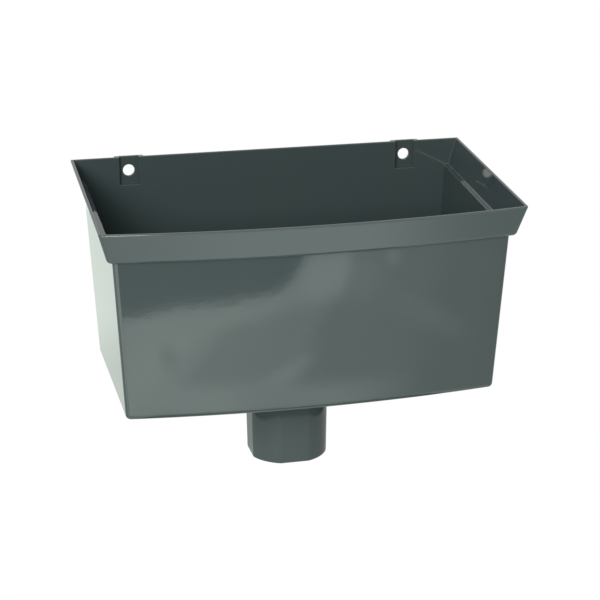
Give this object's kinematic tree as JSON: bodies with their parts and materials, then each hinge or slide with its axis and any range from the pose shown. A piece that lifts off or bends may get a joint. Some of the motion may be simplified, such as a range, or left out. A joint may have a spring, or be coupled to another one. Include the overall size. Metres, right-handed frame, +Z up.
{
  "type": "downpipe hopper head",
  "caption": "Open-topped plastic rainwater hopper head with a bowed front, a splayed collar, a flat back with screw pads and a spigot for round or square downpipe.",
  "frame": {"origin": "on the outer face of the back wall, midway between the two screw holes and at their height", "axes": "+X across the hopper, to the right as seen from the front; +Y into the wall that it hangs on; +Z up"},
  "size_m": [0.3384, 0.1958, 0.2519],
  "materials": {
    "anthracite_plastic": "gloss, smooth moulded face"
  },
  "bodies": {
    "root": {"hopper_head": "anthracite_plastic"}
  },
  "joints": []
}
